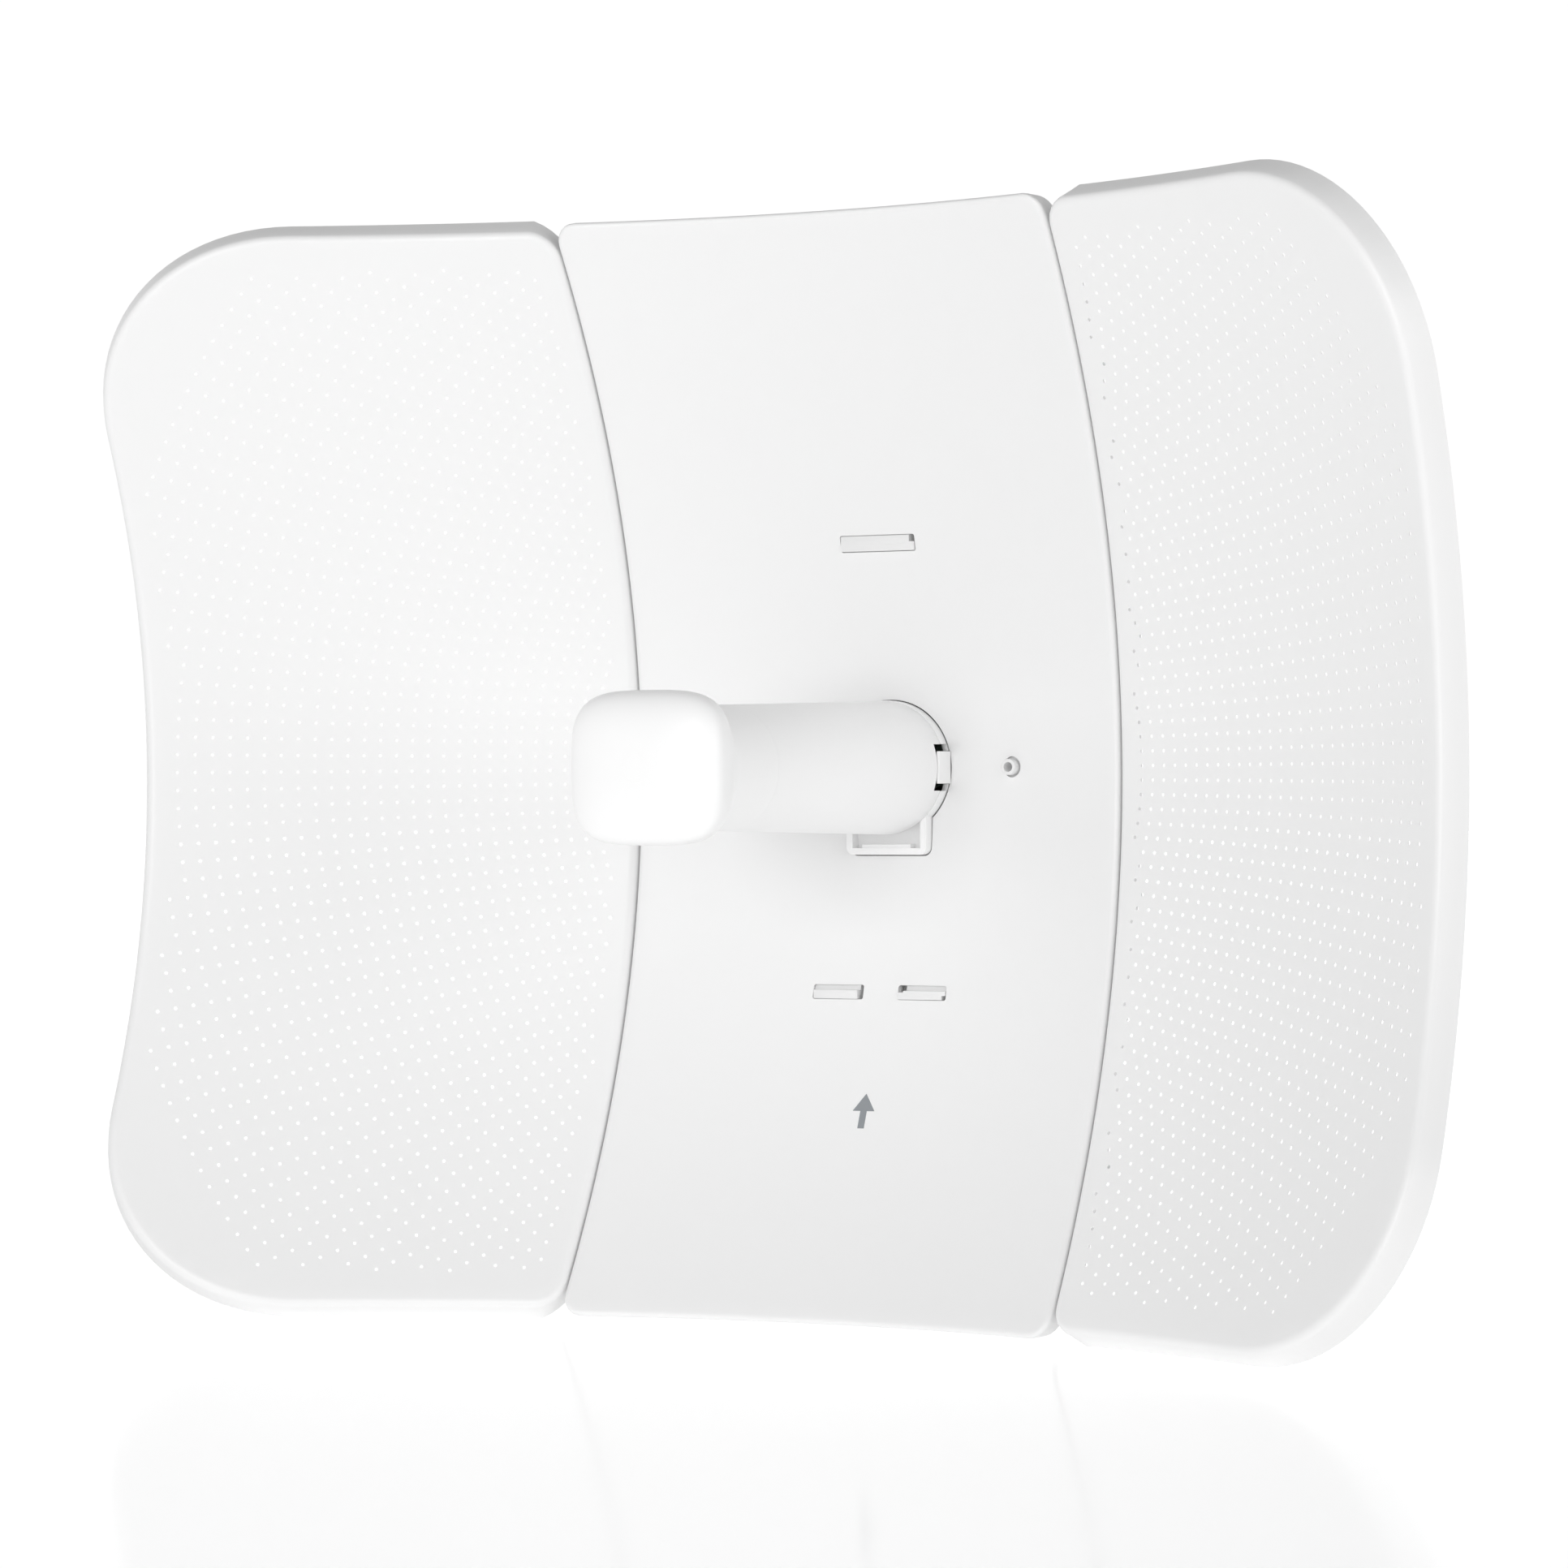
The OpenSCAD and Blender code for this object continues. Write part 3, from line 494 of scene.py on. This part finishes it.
@dataclass
class Panel:
    """A pressed sheet of the dish with its edges turned back; lengths in millimetres."""

    name: str
    inner_x: float
    outer_x: float
    half_z: float
    inner_corner: float
    outer_corner: float
    straight_edges: bool
    surface: DishSurface = field(default_factory=DishSurface)
    sheet: float = 0.8
    bend: float = 2.5
    flange: float = 11.0
    cell: float = 6.0
    bend_steps: int = 5

    def blank(self) -> bmesh.types.BMesh:
        """Cuts the flat blank, up to where the bends begin, and divides it into cells.

        Returns:
            The blank, flat in the plane of X and Z.
        """
        mesh = bmesh.new()
        width = self.outer_x - self.inner_x - 2 * self.bend
        height = 2 * (self.half_z - self.bend)
        place = (Matrix.Translation(((self.inner_x + self.outer_x) / 2 * MM, 0, 0))
                 @ Matrix.Rotation(math.pi / 2, 4, "X") @ Matrix.Diagonal((width * MM, height * MM, 1, 1)))
        bmesh.ops.create_grid(mesh, x_segments=1, y_segments=1, size=0.5, matrix=place)
        middle = (self.inner_x + self.outer_x) / 2 * MM
        for radius, outer in ((self.outer_corner, True), (self.inner_corner, False)):
            corners = [v for v in mesh.verts
                       if (v.co.x > middle) == outer and abs(abs(v.co.z) - height / 2 * MM) < 1e-7
                       and min(abs(v.co.x - (self.outer_x - self.bend) * MM),
                               abs(v.co.x - (self.inner_x + self.bend) * MM)) < 1e-7]
            bmesh.ops.bevel(mesh, geom=corners, offset=(radius - self.bend) * MM, offset_type="OFFSET",
                            segments=max(6, int(radius / 3)), profile=0.5, affect="VERTICES", material=-1)
        self.divide(mesh, 0, self.inner_x, self.outer_x)
        self.divide(mesh, 2, -self.half_z, self.half_z)
        return mesh

    def divide(self, mesh: bmesh.types.BMesh, axis: int, low: float, high: float) -> None:
        """Cuts the blank by planes a cell apart.

        Args:
            mesh: The blank.
            axis: 0 for planes across X, 2 for planes across Z.
            low: Where the planes begin.
            high: Where they end.
        """
        count = round((high - low) / self.cell)
        normal = Vector((axis == 0, 0, axis == 2))
        for i in range(1, count):
            place = normal * (low + (high - low) * i / count) * MM
            bmesh.ops.bisect_plane(mesh, geom=mesh.verts[:] + mesh.edges[:] + mesh.faces[:],
                                   dist=2e-4, plane_co=place, plane_no=normal)

    def outward(self, x: float, z: float) -> Vector:
        """Direction across the outline at a point of it, in the plane of the blank.

        Args:
            x: The point's X, in millimetres.
            z: The point's Z, in millimetres.

        Returns:
            A unit vector that points off the blank.
        """
        outer = x > (self.inner_x + self.outer_x) / 2
        radius = self.outer_corner if outer else self.inner_corner
        core_x = self.outer_x - radius if outer else self.inner_x + radius
        core_z = self.half_z - radius
        beyond_x = (x - core_x) * (1 if outer else -1)
        if beyond_x > 0 and abs(z) > core_z:
            return Vector((x - core_x, 0, z - math.copysign(core_z, z))).normalized()
        if self.half_z - self.bend - abs(z) < 0.01:
            return Vector((0, 0, math.copysign(1, z)))
        return Vector((1 if outer else -1, 0, 0))

    def turn_back(self, x: float, out: Vector, z: float) -> Vector:
        """Direction of the turned-back edge: square to the sheet, or straight back beside a seam.

        Args:
            x: X of the point that the edge starts from, in millimetres.
            out: Direction across the outline there.
            z: Z of the point, in millimetres.

        Returns:
            A unit vector.
        """
        if self.straight_edges:
            return Vector((0, 1, 0))
        beside = max(0.0, -out.x) if x < (self.inner_x + self.outer_x) / 2 else 0.0
        return self.surface.back(x, z).lerp(Vector((0, 1, 0)), beside).normalized()

    def formed(self) -> bmesh.types.BMesh:
        """Presses the blank to shape and turns its edges back.

        Returns:
            The sheet, with its thickness.
        """
        mesh = self.blank()
        for v in mesh.verts:
            v.co = self.surface.point(v.co.x / MM, v.co.z / MM)
        rim = {}
        edges = [e for e in mesh.edges if e.is_boundary]
        for v in {v for e in edges for v in e.verts}:
            x, z = v.co.x / MM, v.co.z / MM
            out = self.outward(x, z)
            slope = Vector((out.x, -(x * out.x + z * out.z) / (2 * self.surface.focal), out.z))
            rim[v] = (v.co.copy(), slope, self.turn_back(x, out, z))
        steps = [(self.bend * math.sin(a), self.bend * (1 - math.cos(a)))
                 for a in (math.pi / 2 * i / self.bend_steps for i in range(1, self.bend_steps + 1))]
        for across, back in steps + [(self.bend, self.flange * 0.6), (self.bend, self.flange)]:
            made = bmesh.ops.extrude_edge_only(mesh, edges=edges)["geom"]
            edges = [g for g in made if isinstance(g, bmesh.types.BMEdge) and g.is_boundary]
            fresh = {}
            for v in {v for e in edges for v in e.verts}:
                source = next(e.other_vert(v) for e in v.link_edges if e.other_vert(v) in rim)
                start, slope, away = rim[source]
                v.co = start + (slope * across + away * back) * MM
                fresh[v] = rim[source]
            rim = fresh
        bmesh.ops.recalc_face_normals(mesh, faces=mesh.faces)
        widest = max(mesh.faces, key=lambda f: f.calc_area() * (abs(f.normal.y) > 0.6))
        if widest.normal.y > 0:
            bmesh.ops.reverse_faces(mesh, faces=mesh.faces)
        return applied(mesh, ("SOLIDIFY", {"thickness": self.sheet * MM, "offset": -1.0, "use_even_offset": True}))


@dataclass
class Wing(Panel):
    """A perforated wing: holes on rings about the dish axis, a little further apart further out."""

    sheet: float = 0.6
    hole: float = 1.36
    hole_back: float = 2.8
    ring_gap: float = 5.1
    ring_last: float = 266.2
    pitch: float = 4.6
    pitch_growth: float = 3.2e-5
    field_x: tuple[float, float] = (105.0, 247.4)
    field_z: float = 178.2
    field_corner: float = 63.0
    hole_sides: int = 8
    overrun: float = 0.25

    def in_field(self, x: float, z: float) -> bool:
        """Whether a hole lies in the perforated field.

        Args:
            x: The hole's X, in millimetres.
            z: The hole's Z, in millimetres.

        Returns:
            True inside the field.
        """
        core_x, core_z = self.outer_x - self.outer_corner, self.half_z - self.outer_corner
        beyond = math.hypot(max(0.0, x - core_x), max(0.0, abs(z) - core_z))
        inside = self.field_x[0] <= x <= self.field_x[1] and abs(z) <= self.field_z
        return inside and (x < core_x or abs(z) < core_z or beyond <= self.field_corner)

    def holes(self) -> list[tuple[float, float]]:
        """Lays the holes out.

        Returns:
            Their places, as x and z in millimetres.
        """
        places = []
        ring = self.ring_last
        while ring > self.field_x[0]:
            step = (self.pitch + self.pitch_growth * ring * ring) / ring
            count = int(math.pi / 2 / step)
            for k in range(-count, count + 1):
                x, z = ring * math.cos(k * step), ring * math.sin(k * step)
                if self.in_field(x, z):
                    places.append((x, z))
            ring -= self.ring_gap
        return places

    def punched(self) -> bmesh.types.BMesh:
        """Forms the wing and punches its holes square to the sheet, wider where the punch breaks out.

        Returns:
            The perforated sheet.
        """
        punches = bmesh.new()
        flare = (self.hole_back - self.hole) / 2 / self.sheet
        before, beyond = self.overrun, self.sheet + self.overrun
        for x, z in self.holes():
            centre, back = self.surface.point(x, z), self.surface.back(x, z)
            add_rod(punches, (self.hole / 2 - flare * before) * MM, centre - back * before * MM,
                    centre + back * beyond * MM, self.hole_sides, (self.hole / 2 + flare * beyond) * MM)
        return cut_by(self.formed(), punches)


@dataclass
class MiddlePanel(Panel):
    """The plain middle panel with its feed opening, hook slots and boss hole."""

    opening: float = 24.3
    notch_x: float = 16.6
    notch_z: float = 31.3
    notch_corner: float = 3.0
    slot_z: float = 79.6
    slot_corner: float = 0.8
    upper_slot: tuple[float, float] = (15.1, 3.0)
    lower_slot: tuple[float, float] = (10.0, 2.6)
    lower_slot_x: float = 17.0
    boss_x: float = 50.0
    boss_hole: float = 3.7
    through: tuple[float, float] = (-115.0, -60.0)

    def opened(self) -> bmesh.types.BMesh:
        """Forms the panel and cuts its openings.

        Returns:
            The panel with its openings.
        """
        cutters = bmesh.new()
        front, rear = self.through
        slots = [(0.0, self.slot_z, self.upper_slot)]
        slots += [(side.value * self.lower_slot_x, -self.slot_z, self.lower_slot) for side in Side]
        for x, z, (half_x, half_z) in slots:
            add_box(cutters, (x - half_x, front, z - half_z), (x + half_x, rear, z + half_z), self.slot_corner)
        add_rod(cutters, self.boss_hole * MM, Vector((self.boss_x, front, 0)) * MM,
                Vector((self.boss_x, rear, 0)) * MM)
        add_box(cutters, (-self.notch_x, front, -self.notch_z), (self.notch_x, rear, 0), self.notch_corner)
        opening = bmesh.new()
        add_rod(opening, self.opening * MM, Vector((0, front, 0)) * MM, Vector((0, rear, 0)) * MM, 128)
        return cut_by(cut_by(self.formed(), cutters), opening)


@dataclass
class Reflector:
    """The three panels, the strips that join them and the seam screws."""

    body: str = "dish"
    seam: float = 97.95
    middle: MiddlePanel = field(default_factory=lambda: MiddlePanel(
        "center_panel_sheet", -97.25, 97.25, 193.3, 8.0, 8.0, True))
    wing: Wing = field(default_factory=lambda: Wing(
        "wing_sheet", 97.95, 254.3, 190.0, 8.0, 70.0, False))
    mark_z: float = -121.0
    mark_height: float = 12.0

    def build(self) -> None:
        """Makes every piece of the reflector."""
        finished("center_panel_sheet", self.middle.opened(), POWDER_COAT, self.body, ("center_panel",))
        right = self.wing.punched()
        left = right.copy()
        bmesh.ops.transform(left, matrix=Matrix.Diagonal((-1, 1, 1, 1)), verts=left.verts)
        bmesh.ops.reverse_faces(left, faces=left.faces)
        for side, mesh in ((Side.LEFT, left), (Side.RIGHT, right)):
            name = side.name.lower()
            finished(f"{name}_wing_sheet", mesh, POWDER_COAT, self.body, (f"{name}_panel",))
            finished(f"{name}_seam_channel", softened(f"{name}_seam_strip", 0.3), POWDER_COAT, self.body,
                     (f"{name}_seam_strip",))
        finished("seam_screw_set", softened("seam_screws", 0.25), ZINC_PLATE, self.body, ("seam_screws",))
        self.mark()

    def mark(self) -> None:
        """Prints a plain arrow that shows which way up the dish goes."""
        mesh = bmesh.new()
        high = self.mark_height
        outline = [(-1.3, 0), (1.3, 0), (1.3, high * 0.5), (4.4, high * 0.5), (0, high), (-4.4, high * 0.5),
                   (-1.3, high * 0.5)]
        surface = self.middle.surface
        verts = [mesh.verts.new(surface.point(x, self.mark_z - high / 2 + z) - Vector((0, 0.02, 0)) * MM)
                 for x, z in outline]
        face = mesh.faces.new(verts)
        made = bmesh.ops.extrude_face_region(mesh, geom=[face])["geom"]
        bmesh.ops.translate(mesh, vec=Vector((0, -0.05, 0)) * MM,
                            verts=[g for g in made if isinstance(g, bmesh.types.BMVert)])
        bmesh.ops.recalc_face_normals(mesh, faces=mesh.faces)
        finished("up_arrow_print", mesh, PRINT, self.body)


# ---- feed ----
@dataclass
class Feed:
    """The plug-in feed: tube, head, base, latch, cover and the electronics inside; millimetres."""

    body: str = "feed"
    tube_r0: float = 23.7
    tube_r1: float = 21.4
    tube_start: float = 5.5
    tube_len: float = 117.0
    rim_len: float = 165.0
    feed_len: float = 174.5
    head_x: float = 29.2
    head_z: float = 25.7
    wall: float = 2.0
    duct_x: float = 16.2
    duct_z: float = 30.9
    duct_round: float = 2.8
    sides: int = 96

    @staticmethod
    def ease(value: float, low: float, high: float) -> float:
        """Smooth step from 0 at low to 1 at high."""
        s = min(1.0, max(0.0, (value - low) / (high - low)))
        return s * s * (3 - 2 * s)

    def half(self, length: float, size: float) -> float:
        """Half size of the head at a distance in front of the vertex.

        Args:
            length: The distance.
            size: Half size at the rim.

        Returns:
            The half size, in millimetres.
        """
        crown = max(0.0, (length - self.rim_len) / (self.feed_len - self.rim_len))
        flare = self.tube_r1 + (size - self.tube_r1) * self.ease(length, self.rim_len - 23, self.rim_len - 1)
        return flare * max(0.0, 1 - crown ** 2.6) ** (1 / 2.6)

    def skin(self, length: float, angle: float) -> Vector:
        """Point of the head's skin, in metres.

        Args:
            length: Distance in front of the vertex.
            angle: Angle round the axis.

        Returns:
            The point.
        """
        power = 2 + 1.6 * self.ease(length, self.rim_len - 23, self.rim_len - 3)
        wide, high = self.half(length, self.head_x), self.half(length, self.head_z)
        c, s = math.cos(angle), math.sin(angle)
        reach = (abs(c / wide) ** power + abs(s / high) ** power) ** (-1 / power)
        return Vector((reach * c, -length, reach * s)) * MM + Vector((0, VERTEX_Y, 0))

    def head(self) -> bmesh.types.BMesh:
        """Draws the head forward from its joint, ring by ring, and closes its crown.

        Returns:
            The head's shell.
        """
        mesh = bmesh.new()
        start = self.tube_len + 0.04
        crown = self.feed_len - self.rim_len
        lengths = [start + (self.rim_len - start) * (i / 30) for i in range(31)]
        lengths += [self.rim_len + crown * math.sin(math.pi / 2 * i / 22) for i in range(1, 22)]
        angles = [math.tau * i / self.sides for i in range(self.sides)]
        ring = [mesh.verts.new(self.skin(start, a)) for a in angles]
        edges = [mesh.edges.new((a, b)) for a, b in zip(ring, ring[1:] + ring[:1])]
        order = {v: i for i, v in enumerate(ring)}
        for length in lengths[1:]:
            made = bmesh.ops.extrude_edge_only(mesh, edges=edges)["geom"]
            edges = [g for g in made if isinstance(g, bmesh.types.BMEdge) and g.is_boundary
                     and not any(v in order for v in g.verts)]
            fresh = {}
            for v in {v for e in edges for v in e.verts}:
                source = next(e.other_vert(v) for e in v.link_edges if e.other_vert(v) in order)
                fresh[v] = order[source]
                v.co = self.skin(length, angles[order[source]])
            order = fresh
        cap = bmesh.ops.contextual_create(mesh, geom=edges)["faces"]
        tip = bmesh.ops.poke(mesh, faces=cap)["verts"][0]
        tip.co = Vector((0, VERTEX_Y - self.feed_len * MM, 0))
        bmesh.ops.recalc_face_normals(mesh, faces=mesh.faces)
        return applied(mesh, ("SOLIDIFY", {"thickness": self.wall * 0.8 * MM, "offset": -1.0}))

    def tube(self) -> bmesh.types.BMesh:
        """Spins the tapered tube with its small lead-in edges, and cuts the latch's notch.

        Returns:
            The tube.
        """
        outer = [(self.tube_r0 - 0.35, -self.tube_start), (self.tube_r0 - 0.1, -self.tube_start - 0.1),
                 (self.tube_r0, -self.tube_start - 0.35)]
        outer += [(self.tube_r0 + (self.tube_r1 - self.tube_r0) * i / 12,
                   -self.tube_start - 0.35 - (self.tube_len - self.tube_start - 0.35) * i / 12)
                  for i in range(1, 13)]
        inner = [(self.tube_r1 - self.wall, -self.tube_len), (self.tube_r0 - self.wall, -self.tube_start)]
        notch = bmesh.new()
        add_box(notch, (20, -91.2, -8.2), (26, -85, 8.2))
        return cut_by(spun(outer + inner, self.sides), notch)

    def emblem(self) -> None:
        """Raises a plain ring in the middle of the head's front."""
        top = self.feed_len - 0.03
        profile = [(4.3, top - 0.7), (4.3, top - 0.08), (4.6, top), (5.1, top), (5.4, top - 0.1), (5.4, top - 0.7)]
        finished("head_ring_emboss", spun([(r, -length) for r, length in profile], 64), ASA_PLASTIC, self.body)

    def base(self) -> bmesh.types.BMesh:
        """Rounds the two lower corners of the cable duct, then every edge of the base.

        Returns:
            The base.
        """
        corners, pillars = bmesh.new(), bmesh.new()
        near_x, near_z = self.duct_x - self.duct_round, self.duct_z - self.duct_round
        for side in Side:
            ends = sorted((side.value * near_x, side.value * (self.duct_x + 1)))
            add_box(corners, (ends[0], -100, -self.duct_z - 1), (ends[1], -50, -near_z))
            centre = Vector((side.value * near_x, 0, -near_z)) * MM
            add_rod(pillars, self.duct_round * MM, centre + Vector((0, -0.11, 0)), centre + Vector((0, -0.04, 0)), 64)
        mesh = cut_by(merged_copy("feed_base"), cut_by(corners, pillars))
        bmesh.ops.dissolve_limit(mesh, angle_limit=FLAT_ANGLE, verts=mesh.verts, edges=mesh.edges)
        return eased(mesh, 0.2, 3)

    def build(self) -> None:
        """Makes every piece of the feed."""
        finished("feed_head_shell", self.head(), ASA_PLASTIC, self.body, ("head_cover",), 50)
        finished("feed_tube_shell", self.tube(), ASA_PLASTIC, self.body, ("feed_tube",))
        self.emblem()
        finished("feed_base_cup", self.base(), ASA_PLASTIC, self.body, ("feed_base",))
        finished("feed_latch_tab", softened("feed_latch", 0.5, 3), ASA_PLASTIC, "feed_latch", ("feed_latch",))
        finished("port_cover_flap", softened("port_cover", 0.2), ASA_PLASTIC, "port_cover", ("port_cover",))
        finished("reset_button_cap", softened("reset_button", 0.2), GREY_PLASTIC, "reset_button", ("reset_button",))
        finished("base_screw_set", softened("base_screws", 0.15), ZINC_PLATE, self.body, ("base_screws",))
        finished("socket_shell", softened("ethernet_jack", 0.2), ZINC_PLATE, self.body, ("ethernet_jack",))
        self.dress()

    @staticmethod
    def dress() -> None:
        """Finishes the nodes inside the feed, which stay as they are."""
        for node, finish in (("subreflector", ALUMINIUM), ("driven_element", BRASS), ("element_spacer", NATURAL),
                             ("main_board", LAMINATE), ("rf_shield", ALUMINIUM), ("heat_spreader", ALUMINIUM),
                             ("light_pipes", ACRYLIC), ("base_gasket", RUBBER)):
            dress_node(node, finish)


# ---- bracket and mount ----
@dataclass
class RearBracket:
    """The moulded bracket behind the dish, its steel clevis and its level."""

    body: str = "dish"

    def build(self) -> None:
        """Makes every piece that sits behind the middle panel."""
        for name, node, width, segments, finish in (
                # the bracket's plastic carries painted shade: a darker copy of the white plastic
                ("moulded_bracket", "dish_bracket", 0.4, 2, ASA_RIBBED_SHADED),
                ("clevis_plate", "tilt_clevis", 0.4, 2, GALVANISED),
                ("clevis_screw_set", "clevis_screws", 0.3, 2, ZINC_PLATE),
                ("level_case", "level_housing", 0.4, 2, ASA_PLASTIC),
                ("level_tube", "level_vial", 0.4, 3, VIAL),
                ("lock_bolt_steel", "lock_bolt", 0.35, 2, ZINC_PLATE),
                ("lock_nut_steel", "lock_nut", 0.35, 2, ZINC_PLATE)):
            finished(name, softened(node, width, segments), finish, self.body, (node,))


@dataclass
class PoleMount:
    """The saddle on the pole, its jaw, bolts and nuts."""

    body: str = "mount"

    def build(self) -> None:
        """Makes every piece of the pole mount."""
        for name, node, width, finish, body in (
                ("saddle_bracket", "pole_bracket", 0.4, GALVANISED, self.body),
                ("pivot_bolt_steel", "pivot_bolt", 0.4, ZINC_PLATE, self.body),
                ("pivot_nut_steel", "pivot_nut", 0.4, ZINC_PLATE, self.body),
                ("clamp_bolt_steel", "clamp_bolts", 0.4, ZINC_PLATE, self.body),
                ("jaw_steel", "clamp_jaw", 0.4, GALVANISED, "jaw"),
                ("washer_pair", "clamp_washers", 0.2, ZINC_PLATE, "jaw"),
                ("left_clamp_nut", "clamp_nut_left", 0.4, ZINC_PLATE, "nut_left"),
                ("right_clamp_nut", "clamp_nut_right", 0.4, ZINC_PLATE, "nut_right")):
            finished(name, softened(node, width), finish, body, (node,))


# ---- studio ----
@dataclass(frozen=True)
class Softbox:
    """A square soft light aimed at the dish."""

    name: str
    place: tuple[float, float, float]
    size: float
    power: float

    def build(self) -> None:
        """Hangs the light."""
        data = bpy.data.lights.new(self.name, "AREA")
        data.size = self.size
        data.energy = self.power
        item = bpy.data.objects.new(self.name, data)
        item.location = self.place
        item.rotation_euler = (Vector((0, -0.1, 0)) - Vector(self.place)).to_track_quat("-Z", "Y").to_euler()
        bpy.context.scene.collection.objects.link(item)


@dataclass
class Studio:
    """A white light table, soft lights and the camera."""

    camera_place: tuple[float, float, float] = (0.9594, -1.8008, -0.0072)
    camera_target: tuple[float, float, float] = (-0.00385, -0.141, -0.01194)
    camera_roll: float = math.radians(-0.35)
    lens: float = 126.93
    shift: tuple[float, float] = (-0.0097, 0.0117)
    table_glow: float = 0.37
    horizon: float = 1.02
    zenith: float = 0.19
    floor_size: float = 20.0
    lights: tuple[Softbox, ...] = (
        Softbox("right_softbox", (2.6, -1.2, 0.35), 1.2, 9),
        Softbox("front_softbox", (0.2, -3.0, 0.2), 0.75, 21),
    )

    def build(self, floor_z: float) -> None:
        """Makes the floor, the lights and the camera.

        Args:
            floor_z: Height of the floor.
        """
        self.floor(floor_z)
        for light in self.lights:
            light.build()
        self.world()
        self.camera()
        bpy.context.scene.view_settings.view_transform = "Standard"

    def floor(self, floor_z: float) -> None:
        """Lays the light table: opal acrylic sheet, glossy and lit from beneath.

        Args:
            floor_z: Height of its top.
        """
        mesh = bmesh.new()
        bmesh.ops.create_grid(mesh, x_segments=1, y_segments=1, size=self.floor_size)
        bmesh.ops.translate(mesh, vec=(0, 0, floor_z), verts=mesh.verts)
        data = bpy.data.meshes.new("floor")
        mesh.to_mesh(data)
        mesh.free()
        material = Finish("opal_acrylic_sheet", "F2F2F2", 0.11, "", ior=1.2, patch_mm=400, patch_rough=0.005,
                          grain_depth_mm=0.0).make()
        shader = material.node_tree.nodes["Principled BSDF"]
        shader.inputs["Emission Color"].default_value = (1, 1, 1, 1)
        shader.inputs["Emission Strength"].default_value = self.table_glow
        data.materials.append(material)
        item = bpy.data.objects.new("floor", data)
        bpy.context.scene.collection.objects.link(item)

    def world(self) -> None:
        """Surrounds the stage with white, bright at the horizon and dimmer overhead."""
        world = bpy.data.worlds.new("white_surround")
        world.use_nodes = True
        tree = world.node_tree
        way = add_node(tree, "TexCoord").outputs["Generated"]
        height = add_node(tree, "SeparateXYZ", {}, {"Vector": way}).outputs["Z"]
        glow = add_node(tree, "MapRange", {"interpolation_type": "SMOOTHSTEP"}, {
            "Value": height, "From Min": 0.15, "From Max": 0.8, "To Min": self.horizon, "To Max": self.zenith})
        tree.links.new(glow.outputs["Result"], tree.nodes["Background"].inputs["Strength"])
        tree.nodes["Background"].inputs["Color"].default_value = (1, 1, 1, 1)
        bpy.context.scene.world = world

    def camera(self) -> None:
        """Sets the camera to the right of the dish, level with it."""
        data = bpy.data.cameras.new("camera")
        data.lens = self.lens
        data.sensor_width = 36
        data.shift_x, data.shift_y = self.shift
        data.clip_end = 50
        item = bpy.data.objects.new("camera", data)
        place = Vector(self.camera_place)
        ahead = (Vector(self.camera_target) - place).normalized()
        right = ahead.cross(Vector((0, 0, 1))).normalized()
        up = right.cross(ahead)
        c, s = math.cos(self.camera_roll), math.sin(self.camera_roll)
        axes = Matrix((right * c + up * s, up * c - right * s, -ahead)).transposed()
        item.matrix_world = Matrix.Translation(place) @ axes.to_4x4()
        bpy.context.scene.collection.objects.link(item)
        bpy.context.scene.camera = item


def main() -> None:
    """Builds the sub-assemblies in order, then the studio."""
    logging.basicConfig(level=logging.INFO, format="%(message)s")
    for part in (Reflector(), Feed(), RearBracket(), PoleMount()):
        part.build()
        LOG.info("%s built", type(part).__name__)
    Studio().build(CAD_BOX[0][2])


if __name__ == "__main__":
    main()
